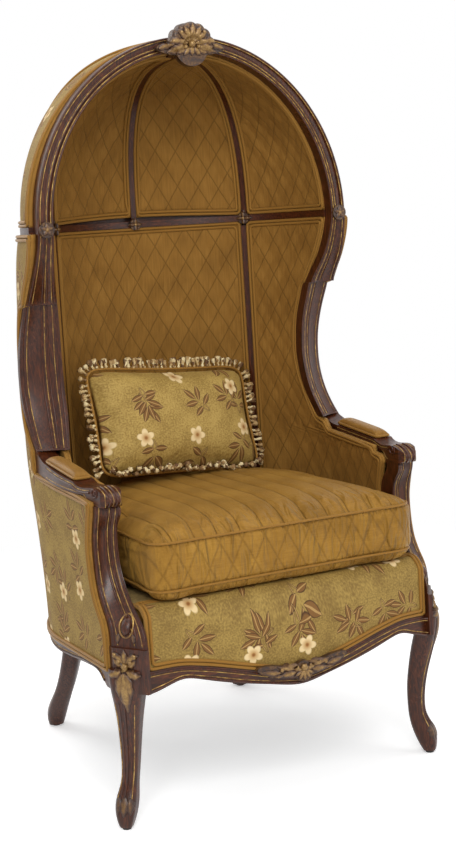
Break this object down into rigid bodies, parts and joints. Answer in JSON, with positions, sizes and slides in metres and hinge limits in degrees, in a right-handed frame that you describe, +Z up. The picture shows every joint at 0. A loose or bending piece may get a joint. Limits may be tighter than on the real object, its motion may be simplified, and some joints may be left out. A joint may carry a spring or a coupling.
{
  "type": "hall porter chair",
  "caption": "Upright chair with a domed, upholstered hood, tub walls, padded arms, loose seat cushion and pillow, on carved legs; it seats one person out of the draught.",
  "frame": {"origin": "on the floor, under the middle of the chair's width and depth", "axes": "Z up from the floor, the seat opens towards -Y, X to the sitter's left, which is the right side seen from the front"},
  "size_m": [0.7602, 0.805, 1.581],
  "materials": {
    "walnut": "dark walnut, shellac polished, gold rubbed into the moulded edges",
    "gilded_carving": "carved wood with rubbed antique gilding",
    "beech": "raw sawn beech",
    "quilted_satin": "bronze gold satin, quilted in diamonds",
    "channelled_satin": "bronze gold satin, sewn in channels",
    "gold_satin": "plain gold satin",
    "tapestry": "floral tapestry on a khaki gold ground",
    "floral_silk": "floral cloth with a looped fringe",
    "webbing": "woven jute webbing",
    "deck_cloth": "plain deck cloth over hair and felt",
    "dust_cloth": "black cambric",
    "steel": "bright steel",
    "glide": "black nylon"
  },
  "bodies": {
    "chair": {"arm_left": "walnut", "arm_pad_left": "gold_satin", "arm_pad_right": "gold_satin", "arm_right": "walnut", "arm_stump_left": "walnut", "arm_stump_right": "walnut", "back_leg_left": "walnut", "back_leg_right": "walnut", "back_lining": "quilted_satin", "back_post_left": "walnut", "back_post_right": "walnut", "back_rail": "walnut", "block_screws": "steel", "corner_blocks": "beech", "crest_carving": "gilded_carving", "deck_pad": "deck_cloth", "dust_cover": "dust_cloth", "front_border": "tapestry", "front_leg_left": "walnut", "front_leg_right": "walnut", "front_rail": "walnut", "hood_arch_left": "walnut", "hood_arch_right": "walnut", "hood_boss": "walnut", "hood_cover_inner_left": "tapestry", "hood_cover_inner_right": "tapestry", "hood_cover_outer_left": "tapestry", "hood_cover_outer_right": "tapestry", "hood_lining_inner_left": "quilted_satin", "hood_lining_inner_right": "quilted_satin", "hood_lining_outer_left": "quilted_satin", "hood_lining_outer_right": "quilted_satin", "hood_rail": "walnut", "hood_rib_centre": "walnut", "hood_rib_left": "walnut", "hood_rib_right": "walnut", "leg_glides": "glide", "outer_back": "tapestry", "outer_side_left": "tapestry", "outer_side_right": "tapestry", "rail_carving": "gilded_carving", "rosettes": "gilded_carving", "seat_webbing": "webbing", "side_rail_left": "walnut", "side_rail_right": "walnut", "wing_frame_left": "walnut", "wing_frame_right": "walnut", "wing_lining_left": "quilted_satin", "wing_lining_right": "quilted_satin", "wing_shoulder_left": "walnut", "wing_shoulder_right": "walnut"},
    "cushion": {"seat_cushion": "channelled_satin"},
    "pillow": {"lumbar_pillow": "floral_silk"}
  },
  "joints": [
    {"name": "cushion_pull", "type": "slide", "parent": "chair", "child": "cushion", "axis": [0, -1, 0], "range_m": [0, 0.62]},
    {"name": "pillow_lift", "type": "slide", "parent": "cushion", "child": "pillow", "axis": [0, -0.6, 0.8], "range_m": [0, 0.25]}
  ]
}
